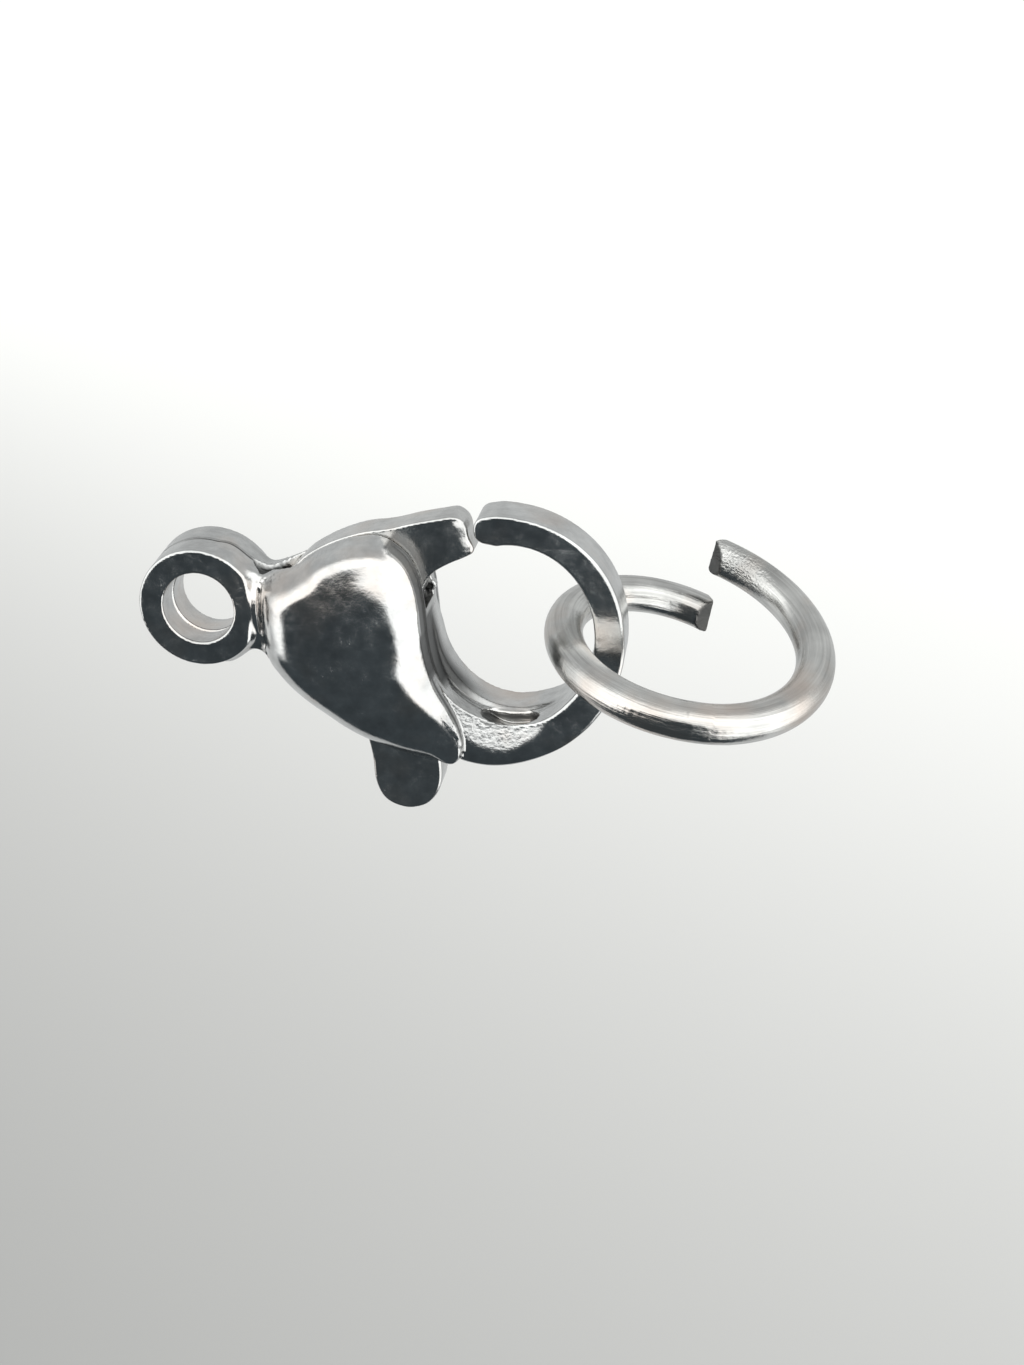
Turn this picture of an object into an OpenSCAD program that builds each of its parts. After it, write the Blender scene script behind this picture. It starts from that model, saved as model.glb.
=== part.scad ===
// Lobster clasp with an opened jump ring on its hook.
// The origin is the centre of the eye's bore, +X runs to the hook, +Y to the back and +Z up.
// Lengths are in millimetres. Outline tables hold shares, in percent, of the reach and the body height.

/* [Clasp] */
// Overall length of the clasp, from the eye's end to the hook's far side
clasp_length = 12; // [10.5:0.1:14]
// Height of the body, from the belly's lowest line to the top of the hook
body_height = 6.6; // [6:0.05:7.4]

/* [Eye] */
// Outer diameter of the eye
eye_diameter = 3; // [2.9:0.02:3.3]
// Diameter of the eye's bore
eye_bore_diameter = 1.8; // [1.4:0.02:2]
// Thickness of the eye, over its two layers
eye_thickness = 1.6; // [1.4:0.02:1.9]
// Width of the seam line between the eye's two layers
seam_width = 0.05; // [0.03:0.01:0.1]
// Depth of the seam line
seam_depth = 0.12; // [0.05:0.01:0.2]
// Thickness of the neck between the eye and the shells
neck_thickness = 1.3; // [1.2:0.02:1.5]

/* [Hook] */
// Thickness of the hook where it leaves the shells
hook_root_thickness = 1.5; // [1.3:0.02:1.8]
// Thickness of the hook at its tip
hook_tip_thickness = 1.26; // [1:0.02:1.5]
// Width of the hook's bar at its far side
hook_bar_width = 0.74; // [0.6:0.02:0.95]
// Width of the hook at its top, near the tip
hook_top_width = 0.72; // [0.6:0.02:0.9]
// Width of the hook at its root, under the mouth
hook_root_width = 1.24; // [1:0.02:1.5]
// Half the width of the hook's outer oval
hook_outer_radius = 3.28; // [3.1:0.02:3.5]
// Half the width of the mouth's oval
mouth_radius = 2.04; // [1.8:0.02:2.2]
// Length of the tip's rounded end
hook_tip_length = 0.48; // [0.3:0.02:0.6]
// Height of the hook's lowest line above the belly's
hook_bottom_rise = 0.1; // [0.02:0.01:0.3]
// Gap between the gate's end and the hook's tip
tip_gap = 0.14; // [0.08:0.01:0.3]

/* [Shells] */
// Thickness over the two domed half shells
shell_depth = 3.3; // [2.8:0.05:3.8]
// Wall of each half shell
shell_wall = 0.5; // [0.35:0.01:0.6]
// Depth of the shallow pocket where the slot runs out under the mouth
slot_pocket_depth = 0.16; // [0.1:0.01:0.3]

/* [Lever] */
// Thickness of the lever
lever_thickness = 1; // [0.8:0.02:1.2]
// Gap between the lever and the shell on each side
lever_side_gap = 0.03; // [0.02:0.01:0.06]
// Distance that the thumb tab reaches below the bore's centre
tab_reach = 5.3; // [4.9:0.05:6]
// Diameter of the pivot pin
pin_diameter = 0.8; // [0.6:0.02:1]
// Gap between the pin and the lever's bore, on the radius
pin_running_gap = 0.02; // [0.01:0.01:0.05]
// Gap between the pin and its seats in the shells, on the radius
pin_seat_gap = 0.01; // [0.01:0.01:0.03]
// Metal left over each end of the pin
pin_cover = 0.3; // [0.2:0.02:0.45]
// Metal around the pin's seats inside the shells
pin_boss_wall = 0.3; // [0.2:0.02:0.45]

/* [Spring] */
// Thickness of the spring strip
spring_strip = 0.12; // [0.08:0.01:0.16]
// Radius of the spring's bend, to the middle of the strip
spring_bend_radius = 0.4; // [0.3:0.02:0.46]
// Length of the spring's straight legs
spring_leg = 1; // [0.8:0.02:1.1]
// Gap left around the spring where it seats
spring_gap = 0.04; // [0.02:0.01:0.08]

/* [Jump ring] */
// Mean diameter of the jump ring, to the middle of the wire
ring_mean_diameter = 6.1; // [5.6:0.05:6.8]
// Diameter of the jump ring's wire
ring_wire_diameter = 0.96; // [0.8:0.02:1.1]
// Angle that each half is turned sideways to open the ring
ring_opening_angle = 7.6; // [4:0.1:10]
// Gap between the ring's wire and the inside of the hook's bar
ring_bar_gap = 0.26; // [0.15:0.01:0.4]
// Angle of each of the two nips on a cut end
ring_nip_angle = 35; // [20:1:45]

/* [Hidden] */
$fn = 96;
steel = [0.78, 0.79, 0.80];
dull_steel = [0.70, 0.70, 0.69];

// distance from the bore's centre to the hook's far side
reach = clasp_length - eye_diameter / 2;
slot_width = lever_thickness + 2 * lever_side_gap;
slot_half = slot_width / 2;
dome_half = shell_depth / 2;

// the hook's outer oval: its top lies at the share of the height that is above the bore
hook_top_z = 0.41 * body_height;
hook_bottom_z = hook_top_z - body_height + hook_bottom_rise;
hook_centre_x = reach - hook_outer_radius;
hook_centre_z = -0.083 * body_height;

// the mouth's oval
mouth_right_x = reach - hook_bar_width;
mouth_centre_x = mouth_right_x - mouth_radius;
mouth_top_z = hook_top_z - hook_top_width;
mouth_bottom_z = hook_bottom_z + hook_root_width;
mouth_centre_z = (mouth_top_z + mouth_bottom_z) / 2;
mouth_half_height = (mouth_top_z - mouth_bottom_z) / 2;

// outline of the shells at the slot, clockwise from the neck's top
shell_shares = [
  [15, 9.5], [17.5, 13], [20, 15], [24, 18.5], [28.5, 24], [33.5, 28], [38.5, 30.5],
  [43, 31], [46.5, 28.5], [49.5, 23.5], [51.5, 16], [52.5, 6.5], [53, -4], [54, -14],
  [56, -23], [59, -31], [62, -39.5], [64, -48], [63, -55], [59.5, -58], [54, -57.5],
  [48, -55], [43, -52], [38.5, -49], [34, -45], [29.5, -40], [25, -35], [21, -29.5],
  [18, -24], [16, -19], [15, -12], [14.5, 0]
];

// outline of the lever above the belly, clockwise from its back end near the neck
lever_top_shares = [
  [22.5, 16.5], [26, 22], [32, 27.5], [39, 31.5], [45.5, 33.5], [51, 36], [56.5, 38], [60, 39]
];

// end of the gate, from its upper corner to its lower one: lengths are taken from the tip's gap
gate_end_shares = [
  [-1.5, 37.5], [-0.5, 35], [0, 31.5], [1, 28], [1, 26], [0, 24.5]
];

// underside of the gate and the mouth side of the lever's arm
lever_front_shares = [
  [59.5, 21.5], [54.5, 17], [51, 11.5], [49.5, 4.5], [49, -7.5], [50.5, -21], [52.5, -33], [55, -45]
];

// thumb tab, clockwise: heights are shares of the tab's reach
tab_shares = [
  [56.5, -70], [57, -80], [56.5, -87.5], [55, -93.5], [52.5, -98], [48.5, -100],
  [44.5, -98], [42, -93.5], [40.5, -85.5], [40, -74.5], [39, -63]
];

// neck side of the lever's arm, upwards
lever_back_shares = [
  [37, -41], [34.5, -28.5], [31.5, -15], [29, -2.5], [26, 6], [23, 12]
];

// place of the pivot
pivot_x = 0.39 * reach;
pivot_z = 0.13 * body_height;

// centre of the domes
dome_x = 0.38 * reach;
dome_z = -0.09 * body_height;

// point of an outline table in millimetres
function place(p) = [p[0] / 100 * reach, p[1] / 100 * body_height];

// one point of a smooth closed curve through the points, at share t of segment i
function curve_point(p, i, t) =
  let (n = len(p), a = p[(i + n - 1) % n], b = p[i], c = p[(i + 1) % n], d = p[(i + 2) % n])
  0.5 * (2 * b + (c - a) * t + (2 * a - 5 * b + 4 * c - d) * t * t + (3 * b - a - 3 * c + d) * t * t * t);

// smooth closed curve with the given number of steps a segment
function smooth(p, steps) = [for (i = [0:len(p) - 1]) for (k = [0:steps - 1]) curve_point(p, i, k / steps)];

// point of an oval: exponent 2 is an ellipse and a higher one is fuller
function oval(cx, cz, a, b, power, angle) = [
  cx + a * sign(cos(angle)) * pow(abs(cos(angle)), 2 / power),
  cz + b * sign(sin(angle)) * pow(abs(sin(angle)), 2 / power)
];

shell_points = smooth([for (p = shell_shares) place(p)], 2);

tip_x = 0.65 * reach;
lever_points = smooth(concat(
  [for (p = lever_top_shares) place(p)],
  [for (p = gate_end_shares) [tip_x - tip_gap + p[0] / 100 * reach, p[1] / 100 * body_height]],
  [for (p = lever_front_shares) place(p)],
  [for (p = tab_shares) [p[0] / 100 * reach, p[1] / 100 * tab_reach]],
  [for (p = lever_back_shares) place(p)]
), 3);

// upper half of the hook's outer edge, from above the tip to the far side
hook_outer_top = [for (a = [88:-4:4]) oval(
  hook_centre_x, hook_centre_z, hook_outer_radius, hook_top_z - hook_centre_z, 2.2, a)];
hook_outer_bottom = [for (a = [0:-4:-104]) oval(
  hook_centre_x, hook_centre_z, hook_outer_radius, hook_centre_z - hook_bottom_z, 1.9, a)];
hook_inner = [for (a = [-170:5:100]) oval(mouth_centre_x, mouth_centre_z, mouth_radius, mouth_half_height, 2, a)];

// where the hook's plate ends inside the shells, up to the top of the ledge along the mouth
hook_root = [
  [0.55 * reach, -0.42 * body_height], [0.51 * reach, -0.12 * body_height],
  [0.518 * reach, 0.06 * body_height]
];

// rounded end of the hook's tip
tip_half_height = 0.485 * hook_top_width;
tip_centre_z = hook_top_z - 0.53 * hook_top_width;
hook_tip = [for (a = [262:-8:100]) oval(
  tip_x + hook_tip_length, tip_centre_z, hook_tip_length, tip_half_height, 2.6, a)];

// stands a flat outline in X and Z up in space, centred on Y
module upright(thickness) {
  rotate([90, 0, 0])
    translate([0, 0, -thickness / 2])
      linear_extrude(height = thickness)
        children();
}

// cylinder along Y, centred
module cross_cylinder(diameter, length) {
  rotate([90, 0, 0])
    cylinder(d = diameter, h = length, center = true);
}

// height of a dome over the slot plane at a share of the way from its centre to its rim
function dome_rise(share, depth) = depth * pow(max(0, 1 - pow(share, 2.7)), 0.5);

// shares of the way from the centre at which the dome's rings lie, closer together at the rim
dome_shares = [1, 0.992, 0.975, 0.945, 0.9, 0.84, 0.76, 0.66, 0.54, 0.4, 0.22];

// closed solid of two domes back to back on one outline
module double_dome(points, base, depth) {
  count = len(points);
  levels = len(dome_shares);
  centre = [dome_x, dome_z];
  side = [for (s = dome_shares) for (p = points)
    let (q = centre + s * (p - centre)) [q[0], base + dome_rise(s, depth), q[1]]];
  vertices = concat(
    side,
    [for (v = side) [v[0], -v[1], v[2]]],
    [[centre[0], base + depth, centre[1]], [centre[0], -base - depth, centre[1]]]
  );
  half = count * levels;
  top = 2 * half;
  function at(level, i) = level * count + (i % count);
  back = [for (k = [0:levels - 2]) for (i = [0:count - 1]) each [
    [at(k, i + 1), at(k, i), at(k + 1, i + 1)], [at(k + 1, i + 1), at(k, i), at(k + 1, i)]]];
  front = [for (f = back) [half + f[0], half + f[2], half + f[1]]];
  back_cap = [for (i = [0:count - 1]) [at(levels - 1, i + 1), at(levels - 1, i), top]];
  front_cap = [for (i = [0:count - 1]) [half + at(levels - 1, i), half + at(levels - 1, i + 1), top + 1]];
  rim = [for (i = [0:count - 1]) each [
    [at(0, i), at(0, i + 1), half + at(0, i)], [half + at(0, i), at(0, i + 1), half + at(0, i + 1)]]];
  polyhedron(points = vertices, faces = concat(back, front, back_cap, front_cap, rim), convexity = 6);
}

// outline drawn in towards the dome's centre by about one wall
function drawn_in(points, wall) = [for (p = points)
  let (centre = [dome_x, dome_z], r = norm(p - centre)) centre + (r - wall) / r * (p - centre)];

// eye, a thick disc with a seam line around it
module eye() {
  difference() {
    cross_cylinder(eye_diameter, eye_thickness);
    difference() {
      cross_cylinder(2 * eye_diameter, seam_width);
      cross_cylinder(eye_diameter - 2 * seam_depth, eye_thickness);
    }
  }
}

// neck plate between the eye and the shells
module neck() {
  neck_right = 0.2 * reach;
  upright(neck_thickness)
    polygon([
      [0.62 * eye_diameter / 2, 0.76 * eye_diameter / 2],
      [0.125 * reach, 0.145 * body_height],
      [0.16 * reach, 0.127 * body_height],
      [0.18 * reach, 0.13 * body_height],
      [neck_right, 0.14 * body_height],
      [neck_right, -0.27 * body_height],
      [0.16 * reach, -0.195 * body_height],
      [0.14 * reach, -0.178 * body_height],
      [0.12 * reach, -0.174 * body_height],
      [0.62 * eye_diameter / 2, -0.78 * eye_diameter / 2]
    ]);
}

// hook, thinner towards its tip
module hook() {
  intersection() {
    upright(hook_root_thickness)
      polygon(concat(hook_outer_top, hook_outer_bottom, hook_root, hook_inner, hook_tip));
    taper_low = hook_centre_z - 0.15 * body_height;
    rotate([90, 0, 90])
      linear_extrude(height = 2 * clasp_length)
        polygon([
          [-hook_root_thickness / 2, -2 * body_height],
          [hook_root_thickness / 2, -2 * body_height],
          [hook_root_thickness / 2, taper_low],
          [hook_tip_thickness / 2, hook_top_z - hook_top_width],
          [hook_tip_thickness / 2, 2 * body_height],
          [-hook_tip_thickness / 2, 2 * body_height],
          [-hook_tip_thickness / 2, hook_top_z - hook_top_width],
          [-hook_root_thickness / 2, taper_low]
        ]);
  }
}

// slot between the shells: it opens like a wedge at the neck and runs out in the hook's root
module slot() {
  wedge_start = 0.135 * reach;
  wedge_end = 0.22 * reach;
  intersection() {
    translate([0, 0, -2 * body_height])
      linear_extrude(height = 4 * body_height)
        polygon([
          [wedge_start, 0], [wedge_end, slot_half], [reach, slot_half],
          [reach, -slot_half], [wedge_end, -slot_half]
        ]);
    upright(2 * slot_width)
      polygon([
        [0.1 * reach, body_height], [0.1 * reach, -body_height],
        [0.6 * reach, -body_height], [0.605 * reach, -0.5 * body_height],
        [0.66 * reach, mouth_bottom_z - 0.05 * body_height],
        [0.69 * reach, mouth_bottom_z - slot_pocket_depth],
        [0.78 * reach, mouth_bottom_z - slot_pocket_depth],
        [0.8 * reach, mouth_bottom_z - 0.6 * slot_pocket_depth],
        [0.805 * reach, mouth_bottom_z + 0.1 * body_height],
        [0.7 * reach, mouth_centre_z], [0.6 * reach, 0.3 * body_height],
        [0.6 * reach, body_height]
      ]);
  }
}

// hollow behind the domes, with solid metal left around the pin's seats
module hollow() {
  difference() {
    double_dome(drawn_in(shell_points, shell_wall), slot_half, dome_half - slot_half - shell_wall);
    translate([pivot_x, 0, pivot_z])
      cross_cylinder(pin_diameter + 2 * pin_boss_wall, shell_depth);
  }
}

pin_length = shell_depth - 2 * pin_cover;

// body: eye, neck, two domed half shells and the hook
module body() {
  color(steel)
    difference() {
      union() {
        eye();
        neck();
        double_dome(shell_points, slot_half, dome_half - slot_half);
        hook();
      }
      cross_cylinder(eye_bore_diameter, shell_depth);
      hollow();
      slot();
      translate([pivot_x, 0, pivot_z])
        cross_cylinder(pin_diameter + 2 * pin_seat_gap, pin_length + 2 * pin_seat_gap);
    }
}

// lever: gate, arm and thumb tab in one plate
module lever() {
  color(steel)
    difference() {
      upright(lever_thickness)
        polygon(lever_points);
      translate([pivot_x, 0, pivot_z])
        cross_cylinder(pin_diameter + 2 * pin_running_gap, 2 * lever_thickness);
    }
}

// pin that the lever turns on, hidden in the shells
module pivot_pin() {
  color(steel)
    translate([pivot_x, 0, pivot_z])
      cross_cylinder(pin_diameter, pin_length);
}

// bent strip that presses the lever's arm away from the neck
module spring() {
  outer = spring_bend_radius + spring_strip / 2;
  inner = spring_bend_radius - spring_strip / 2;
  strip_width = 0.8 * lever_thickness;
  bend_x = 0.2 * reach + outer + spring_gap;
  bend_z = -0.2 * body_height;
  color(dull_steel)
    translate([bend_x, 0, bend_z]) {
      upright(strip_width)
        difference() {
          union() {
            circle(r = outer);
            translate([-outer, 0])
              square([2 * outer, spring_leg]);
          }
          circle(r = inner);
          translate([-inner, 0])
            square([2 * inner, 2 * spring_leg]);
        }
    }
}

// one half of the opened ring, from the point opposite the gap to its nipped end
module ring_half(sweep, side) {
  radius = ring_mean_diameter / 2;
  translate([0, -radius, 0])
    rotate([side * ring_opening_angle, 0, 0])
      translate([0, radius, 0])
        difference() {
          rotate([0, 0, side > 0 ? -90 : -90 - sweep])
            rotate_extrude(angle = sweep)
              translate([radius, 0])
                circle(d = ring_wire_diameter);
          rotate([0, 0, side > 0 ? -90 + sweep : -90 - sweep])
            translate([radius, 0, 0])
              for (turn = [-1, 1])
                rotate([turn * (90 - ring_nip_angle), 0, 0])
                  translate([0, 0, -turn * side * ring_wire_diameter])
                    cube(2 * ring_wire_diameter, center = true);
        }
}

// jump ring caught on the hook, its two ends drawn apart
module jump_ring() {
  radius = ring_mean_diameter / 2;
  color(dull_steel)
    translate([mouth_right_x - ring_bar_gap - ring_wire_diameter / 2 + radius, 0, hook_centre_z + 0.01 * body_height])
      rotate([14, 11, 13.3]) {
        ring_half(203, -1);
        ring_half(167, 1);
      }
}

body();
lever();
pivot_pin();
spring();
jump_ring();
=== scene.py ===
import bpy
import math
from collections import namedtuple
import numpy as np
from mathutils import Matrix, Vector


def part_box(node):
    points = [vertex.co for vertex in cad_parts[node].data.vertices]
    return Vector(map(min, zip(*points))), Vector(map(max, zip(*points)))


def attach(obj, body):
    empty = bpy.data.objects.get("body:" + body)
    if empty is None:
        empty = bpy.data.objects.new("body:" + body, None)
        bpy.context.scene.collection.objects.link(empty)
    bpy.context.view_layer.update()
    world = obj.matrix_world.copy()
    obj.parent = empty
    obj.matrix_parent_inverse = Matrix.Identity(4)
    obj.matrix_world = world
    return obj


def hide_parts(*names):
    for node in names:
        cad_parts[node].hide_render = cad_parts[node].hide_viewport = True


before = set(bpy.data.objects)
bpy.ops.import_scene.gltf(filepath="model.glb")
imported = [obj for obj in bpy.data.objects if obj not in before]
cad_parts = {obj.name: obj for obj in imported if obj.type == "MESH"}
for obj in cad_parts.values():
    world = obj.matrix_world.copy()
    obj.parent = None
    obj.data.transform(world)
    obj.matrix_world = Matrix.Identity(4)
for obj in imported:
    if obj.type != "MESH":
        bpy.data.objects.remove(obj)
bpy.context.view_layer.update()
scene = bpy.context.scene

MM = 0.001

# sizes of the clasp in millimetres, as in the part's source
CLASP_LENGTH = 12.0
BODY_HEIGHT = 6.6
EYE_RADIUS = 1.5
BORE_RADIUS = 0.9
EYE_HALF = 0.8
DOME_HALF = 1.65
SHELL_WALL = 0.5
LEVER_HALF = 0.5
LEVER_SIDE_GAP = 0.03
HOOK_ROOT_HALF = 0.75
HOOK_TIP_HALF = 0.63
HOOK_BAR_WIDTH = 0.74
HOOK_TOP_WIDTH = 0.72
HOOK_ROOT_WIDTH = 1.24
HOOK_OUTER_RADIUS = 3.28
HOOK_TIP_LENGTH = 0.48
HOOK_BOTTOM_RISE = 0.1
MOUTH_RADIUS = 2.04
TIP_GAP = 0.14
TAB_REACH = 5.3
PIN_RADIUS = 0.4
PIN_COVER = 0.3
PIN_BOSS_WALL = 0.3
PIN_RUNNING_GAP = 0.02
PIN_SEAT_GAP = 0.01
RING_RADIUS = 3.05

# places and sizes worked out from those
REACH = CLASP_LENGTH - EYE_RADIUS
SLOT_HALF = LEVER_HALF + LEVER_SIDE_GAP
HOOK_TOP_Z = 0.41 * BODY_HEIGHT
HOOK_BOTTOM_Z = HOOK_TOP_Z - BODY_HEIGHT + HOOK_BOTTOM_RISE
HOOK_X = REACH - HOOK_OUTER_RADIUS
HOOK_Z = -0.083 * BODY_HEIGHT
MOUTH_X = REACH - HOOK_BAR_WIDTH - MOUTH_RADIUS
MOUTH_TOP = HOOK_TOP_Z - HOOK_TOP_WIDTH
MOUTH_BOTTOM = HOOK_BOTTOM_Z + HOOK_ROOT_WIDTH
MOUTH_Z = (MOUTH_TOP + MOUTH_BOTTOM) / 2
MOUTH_HALF = (MOUTH_TOP - MOUTH_BOTTOM) / 2
TIP_X = 0.65 * REACH
TIP_Z = HOOK_TOP_Z - 0.53 * HOOK_TOP_WIDTH
TIP_HALF = 0.485 * HOOK_TOP_WIDTH
PIVOT = (0.39 * REACH, 0.13 * BODY_HEIGHT)

# detail in millimetres that only this script has, with a deeper seam and a thinner neck than the source
SEAM_DEPTH = 0.16
SEAM_WIDTH = 0.032
BORE_SEAM_DEPTH = 0.1
BORE_SEAM_WIDTH = 0.045
BACK_SWELL = 0.05
NECK_HALF = 0.5
NECK_BACK = 0.1
WEDGE_DEPTH = 0.16
MOUTH_EDGE_OUT = 0.04
DOME_MIDDLE = (3.9, -0.4)
CROWN = 0.035
TOP_BAND = 0.9
END_BAND = 0.12
RIM_HEIGHT = 0.15
FRONT_LIP = 0.06
BACK_LIP = 0.11
FACE_TILT = 0.22
KNOB = (5.56, 0.46)
KNOB_RADIUS = 0.155
KNOB_Y = (0.505, 0.735)
POCKET_X = 7.7
POCKET_Y = -0.4
POCKET_STRAIGHT = 0.4
POCKET_RADIUS = 0.33
POCKET_FLOOR = 0.08
POCKET_FALL = 0.22

# how full the hook's curves are, where 2 is an ellipse
HOOK_TOP_POWER = 2.2
HOOK_BOTTOM_POWER = 1.85
TIP_POWER = 2.6

# radii of rounded edges and of fillets in millimetres
FINE_EDGE = 0.02
THIN_EDGE = 0.03
SOFT_EDGE = 0.04
WORN_EDGE = 0.05
ROUND_EDGE = 0.08
EYE_EDGE_AT_NECK = 0.28
EYE_FILLET = 0.3
DOME_FILLET = 0.25
KNOB_FILLET = 0.01

# outlines in percent of the reach and the body height, close to those in the part's source
SHELL = [
    (15, 9.5), (17.5, 13), (20, 15), (24, 18.5), (28.5, 24), (33.5, 28), (38.5, 30.5),
    (43, 31), (46.8, 28.7), (50.2, 23.8), (52.4, 16.2), (53.6, 6.5), (54.2, -4), (55.2, -14),
    (57, -23), (59.8, -31), (62.4, -39.5), (63.6, -48), (62.4, -54.4), (59, -57.2), (54, -57.2),
    (48, -55), (43, -52), (38.5, -49), (34, -45), (29.5, -40), (25, -35), (21, -29.5),
    (18, -24), (16, -19), (15, -12), (14.5, 0),
]
# first and last point of the shell's outline along the mouth
MOUTH_SIDE = (8, 17)
HOOK_ROOT = [(55, -42), (51, -12), (51.8, 6)]
LEVER_TOP = [
    (20, 12), (22.5, 16.5), (26, 22), (32, 27.5), (39, 31.5), (45.5, 33.5), (51, 36), (56.5, 38),
    (60, 39),
]
GATE_END = [(-1.5, 37.5), (-0.5, 35), (0, 31.5), (1, 28), (1, 26), (0, 24.5)]
LEVER_FRONT = [
    (59.5, 21.5), (55.4, 17.3), (53.3, 12), (51.7, 5.5), (50.4, 1.5), (49.3, -2), (49, -7.5),
    (50.5, -21), (52.5, -33), (55, -45),
]
TAB = [
    (56.5, -70), (57, -80), (56.5, -87.5), (55, -93.5), (52.5, -98), (48.5, -100),
    (44.5, -98), (42, -93.5), (40.5, -85.5), (40, -74.5), (39, -63),
]
LEVER_BACK = [(37, -41), (34.5, -28.5), (31.5, -15), (29, -2.5), (26, 4), (22, 8)]

# outlines in millimetres
NECK = [
    (0.5, 1.2), (1.1, 1.02), (1.31, 0.94), (1.68, 0.84), (1.95, 0.87), (2.5, 1.0), (3.2, 0.9),
    (3.2, -2.0), (2.5, -2.0), (2.1, -1.78), (1.68, -1.3), (1.4, -1.16), (1.15, -1.12), (0.5, -1.3),
]
SLOT = [
    (1.05, 6.6), (1.05, -6.6), (6.3, -6.6), (6.32, -3.0), (6.1, -2.2), (5.82, -1.78), (5.6, -1.37),
    (5.46, -0.9), (5.4, -0.45), (5.38, -0.1), (5.43, 0.1), (5.6, 0.2), (5.72, 0.26), (6.8, 0.28),
    (6.3, 1.98), (6.3, 6.6),
]

# the dome along the mouth: place along Z, width of the slope there, and the share that it drops by
MOUTH_SLOPE = [
    (-2.6, 0.3, 0.03), (-1.7, 0.75, 0.2), (-1.0, 1.15, 0.27), (-0.25, 0.75, 0.22),
    (0.5, 0.9, 0.25), (1.2, 1.15, 0.27), (1.9, 1.0, 0.15),
]
# widths, thicknesses and the lip's share, each by the angle round the mouth in degrees
TILTED_FACE = [
    (150, 0), (175, 0), (200, 0.05), (222, 0.25), (240, 0.55), (255, 0.8), (270, 0.76), (285, 0.4),
    (298, 0),
]
THICKER_FRONT = [(205, 0), (228, 0.17), (285, 0.17), (330, 0)]
THICKER_BACK = [(150, 0), (170, 0.25), (285, 0.25), (330, 0)]
LIP = [(150, 0), (165, 1), (230, 1), (290, 0.6), (310, 0)]

# ends and spacing of the grids that the meshes are made on
BODY_X = (-1.6, 10.62)
BODY_Z = (-3.95, 2.85)
BODY_PITCH = 0.057
# the body's spacing along Y, up to each depth
BODY_PACES = [(0.1, 0.022), (0.45, 0.06), (0.9, 0.036), (1.75, 0.055)]
LEVER_X = (2.1, 7.0)
LEVER_Y = (-0.6, 0.6)
LEVER_Z = (-5.4, 2.7)
LEVER_PITCH = 0.04
LEVER_LAYERS = 31
RING_MARGIN = 0.15
RING_PITCH = 0.055


# outlines and distances
def placed(table, height=BODY_HEIGHT, start=0.0):
    """Points in millimetres, from percents of the reach and of a height."""
    return [(start + x / 100 * REACH, z / 100 * height) for x, z in table]


def smooth_closed(points, count):
    """Closed smooth curve through the points, with count steps between them."""
    p = np.array(points, float)
    t = np.linspace(0, 1, count, endpoint=False)[:, None, None]
    a, b, c, d = (np.roll(p, k, axis=0)[None] for k in (1, 0, -1, -2))
    q = 0.5 * (2 * b + (c - a) * t + (2 * a - 5 * b + 4 * c - d) * t * t + (3 * b - a - 3 * c + d) * t ** 3)
    return q.transpose(1, 0, 2).reshape(-1, 2)


def oval(centre, radii, power, start, stop, count):
    """Arc of an oval: power 2 is an ellipse, and a higher one is fuller."""
    angle = np.radians(np.linspace(start, stop, count))
    c, s = np.cos(angle), np.sin(angle)
    return np.stack([
        centre[0] + radii[0] * np.sign(c) * abs(c) ** (2 / power),
        centre[1] + radii[1] * np.sign(s) * abs(s) ** (2 / power),
    ], 1)


def path_distance(points, x, z):
    """Distance in the XZ plane to an open path."""
    best = np.full(x.shape, 1e9)
    for (ax, az), (bx, bz) in zip(points[:-1], points[1:]):
        ex, ez = bx - ax, bz - az
        px, pz = x - ax, z - az
        t = np.clip((px * ex + pz * ez) / (ex * ex + ez * ez), 0, 1)
        best = np.minimum(best, (px - t * ex) ** 2 + (pz - t * ez) ** 2)
    return np.sqrt(best)


def outline_distance(points, x, z):
    """Signed distance in the XZ plane to a closed outline, negative inside."""
    a = np.asarray(points, float)
    b = np.roll(a, -1, axis=0)
    best = np.full(x.shape, 1e9)
    inside = np.zeros(x.shape, bool)
    for (ax, az), (bx, bz) in zip(a, b):
        ex, ez = bx - ax, bz - az
        length = ex * ex + ez * ez
        if length < 1e-12:
            continue
        px, pz = x - ax, z - az
        t = np.clip((px * ex + pz * ez) / length, 0, 1)
        best = np.minimum(best, (px - t * ex) ** 2 + (pz - t * ez) ** 2)
        if az != bz:
            inside ^= ((az > z) != (bz > z)) & (px < ex * pz / ez)
    return np.where(inside, -1, 1) * np.sqrt(best)


def both(a, b, r=0.0):
    """Intersection of two distances with an edge rounded by r."""
    if np.ndim(r) == 0 and r <= 0:
        return np.maximum(a, b)
    u, v = a + r, b + r
    return np.minimum(np.maximum(u, v), 0) + np.hypot(np.maximum(u, 0), np.maximum(v, 0)) - r


def either(a, b, r=0.0):
    """Union of two distances with a fillet of radius r."""
    if r <= 0:
        return np.minimum(a, b)
    u, v = np.maximum(r - a, 0), np.maximum(r - b, 0)
    return np.maximum(np.minimum(a, b), r) - np.hypot(u, v)


def cut(a, b, r=0.0):
    """The first distance's solid without the second's, with an edge rounded by r."""
    return both(a, -b, r)


def ramp(x, low, high):
    """Smooth rise from 0 to 1."""
    t = np.clip((x - low) / (high - low), 0, 1)
    return t * t * (3 - 2 * t)


def between(x, rise, risen, fall, fallen):
    """Smooth rise from 0 to 1 and fall back to 0."""
    return ramp(x, rise, risen) * (1 - ramp(x, fall, fallen))


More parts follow.
